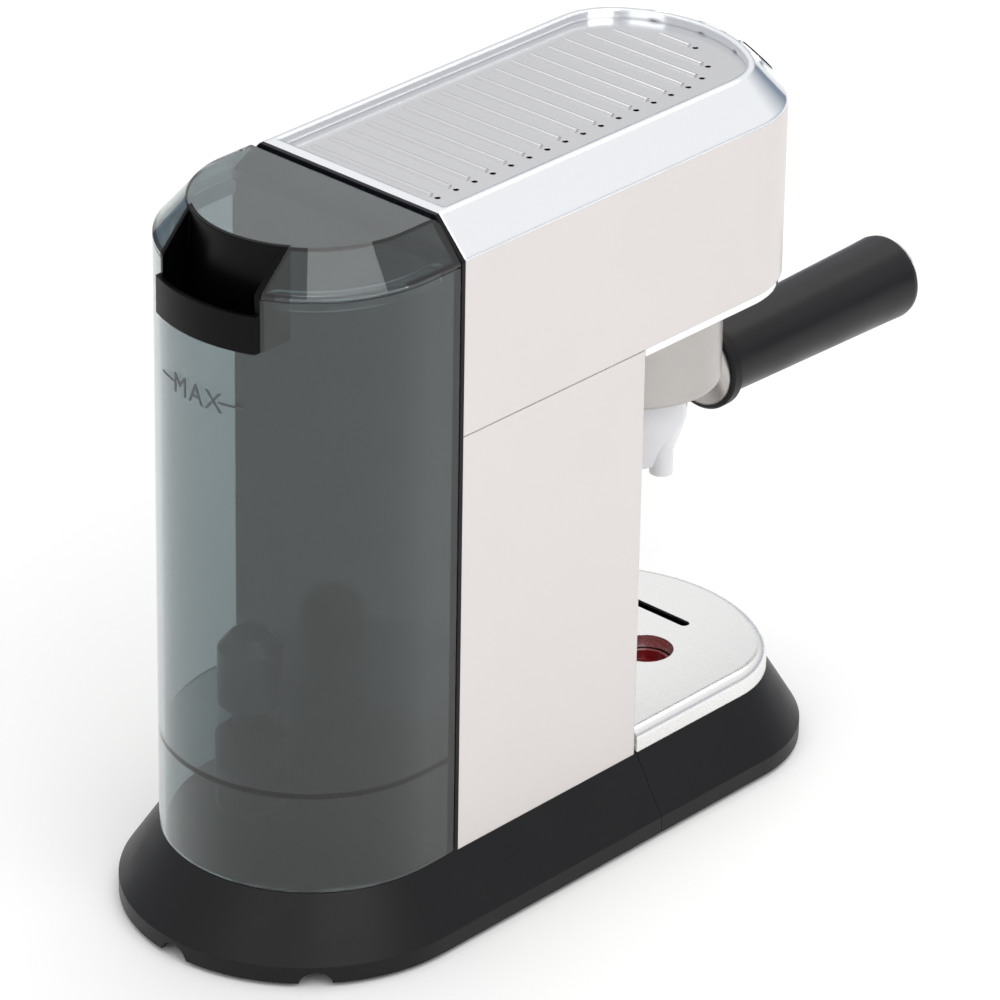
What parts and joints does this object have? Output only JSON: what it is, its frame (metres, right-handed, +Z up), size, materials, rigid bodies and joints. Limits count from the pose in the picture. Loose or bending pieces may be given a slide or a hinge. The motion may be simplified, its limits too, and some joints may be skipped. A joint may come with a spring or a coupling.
{
  "type": "pod coffee machine",
  "caption": "Slim pump coffee machine with a locking portafilter, a lift-off rear water tank, a slide-out drip tray and a steam wand.",
  "frame": {"origin": "on the surface the feet stand on, under the middle of the whole machine", "axes": "+Z up; the portafilter's handle points along -Y; the water tank is at +Y; steam wand and knob at +X"},
  "size_m": [0.149, 0.427, 0.3031],
  "materials": {
    "black_plastic": "satin black moulding",
    "board_green": "circuit board",
    "brass": "turned",
    "cast_aluminium": "cast, satin",
    "chrome_trim": "polished",
    "frame_steel": "grey inner frame",
    "inner_plastic": "natural grey moulding",
    "pale_gloss": "pale glossy moulding",
    "panel_enamel": "warm off-white satin enamel",
    "red_plastic": "red float",
    "rubber": "black",
    "satin_steel": "satin",
    "screw_steel": "zinc plated",
    "smoked_clear": "smoked transparent plastic"
  },
  "bodies": {
    "machine": {"base_shell": "black_plastic", "base_plate": "black_plastic", "foot_1": "rubber", "foot_2": "rubber", "foot_3": "rubber", "foot_4": "rubber", "base_screw_1": "screw_steel", "base_screw_2": "screw_steel", "base_screw_3": "screw_steel", "base_screw_4": "screw_steel", "cord_gland": "rubber", "tank_socket": "inner_plastic", "rear_wall": "black_plastic", "column_panel": "panel_enamel", "head_wrap": "panel_enamel", "top_frame": "chrome_trim", "cup_plate": "satin_steel", "head_floor": "chrome_trim", "chassis": "frame_steel", "button_ring_1": "chrome_trim", "button_ring_2": "chrome_trim", "button_ring_3": "chrome_trim", "control_board": "board_green", "group_collar": "cast_aluminium", "group_gasket": "rubber", "thermoblock_lower": "cast_aluminium", "thermoblock_upper": "cast_aluminium", "shower_screen": "satin_steel", "steam_valve": "brass", "wand_socket": "black_plastic", "switch_bezel": "black_plastic", "pump_body": "brass", "pump_coil": "inner_plastic", "inlet_hose": "rubber", "outlet_pipe": "satin_steel"},
    "tank": {"tank_shell": "smoked_clear", "tank_handle": "black_plastic", "tank_valve": "inner_plastic", "softener_filter": "inner_plastic"},
    "lid": {"tank_lid": "smoked_clear"},
    "valve_plunger": {"valve_plunger": "inner_plastic"},
    "tray": {"drip_tray": "black_plastic"},
    "grille": {"grille_plate": "satin_steel"},
    "float": {"tray_float": "red_plastic"},
    "portafilter": {"filter_bowl": "cast_aluminium", "filter_basket": "satin_steel", "spout": "pale_gloss", "handle_ring": "black_plastic", "handle_grip": "black_plastic", "handle_cap": "chrome_trim"},
    "button_1": {"button_1": "black_plastic"},
    "button_2": {"button_2": "black_plastic"},
    "button_3": {"button_3": "black_plastic"},
    "steam_control": {"steam_knob": "black_plastic", "steam_spindle": "satin_steel"},
    "wand": {"steam_wand": "satin_steel"},
    "frother": {"frother_sleeve": "satin_steel"},
    "rocker": {"rocker_switch": "black_plastic"},
    "piston": {"pump_piston": "satin_steel"}
  },
  "joints": [
    {"name": "tank_lift", "type": "slide", "parent": "machine", "child": "tank", "axis": [0, 0, 1], "range_m": [0, 0.27]},
    {"name": "lid_hinge", "type": "hinge", "parent": "tank", "child": "lid", "pos_m": [0, 0.1222, 0.2995], "axis": [1, 0, 0], "range_deg": [0, 92]},
    {"name": "valve_plunger_slide", "type": "slide", "parent": "tank", "child": "valve_plunger", "axis": [0, 0, 1], "range_m": [0, 0.004], "stiffness_N_per_m": 150},
    {"name": "tray_slide", "type": "slide", "parent": "machine", "child": "tray", "axis": [0, -1, 0], "range_m": [0, 0.14]},
    {"name": "grille_lift", "type": "slide", "parent": "tray", "child": "grille", "axis": [0, 0, 1], "range_m": [0, 0.04]},
    {"name": "float_rise", "type": "slide", "parent": "tray", "child": "float", "axis": [0, 0, 1], "range_m": [0, 0.005]},
    {"name": "portafilter_turn", "type": "hinge", "parent": "machine", "child": "portafilter", "pos_m": [0, -0.0505, 0.22], "axis": [0, 0, 1], "range_deg": [-48, 0]},
    {"name": "button_1_press", "type": "slide", "parent": "machine", "child": "button_1", "axis": [0.2812, 0.6748, -0.6823], "range_m": [0, 0.001], "stiffness_N_per_m": 400},
    {"name": "button_2_press", "type": "slide", "parent": "machine", "child": "button_2", "axis": [0, 0.7311, -0.6823], "range_m": [0, 0.001], "stiffness_N_per_m": 400},
    {"name": "button_3_press", "type": "slide", "parent": "machine", "child": "button_3", "axis": [-0.2812, 0.6748, -0.6823], "range_m": [0, 0.001], "stiffness_N_per_m": 400},
    {"name": "steam_turn", "type": "hinge", "parent": "machine", "child": "steam_control", "pos_m": [0.062, 0.0175, 0.25], "axis": [1, 0, 0], "range_deg": [0, 270]},
    {"name": "wand_swing", "type": "hinge", "parent": "machine", "child": "wand", "pos_m": [0.046, -0.0095, 0.2], "axis": [0, -1, 0], "range_deg": [0, 35]},
    {"name": "frother_slide", "type": "slide", "parent": "wand", "child": "frother", "axis": [0, 0, 1], "range_m": [0, 0.03]},
    {"name": "rocker_tilt", "type": "hinge", "parent": "machine", "child": "rocker", "pos_m": [0.06, 0.0725, 0.062], "axis": [0, 1, 0], "range_deg": [-7, 7]},
    {"name": "piston_stroke", "type": "slide", "parent": "machine", "child": "piston", "axis": [0, 0, 1], "range_m": [0, 0.0025], "stiffness_N_per_m": 400}
  ]
}
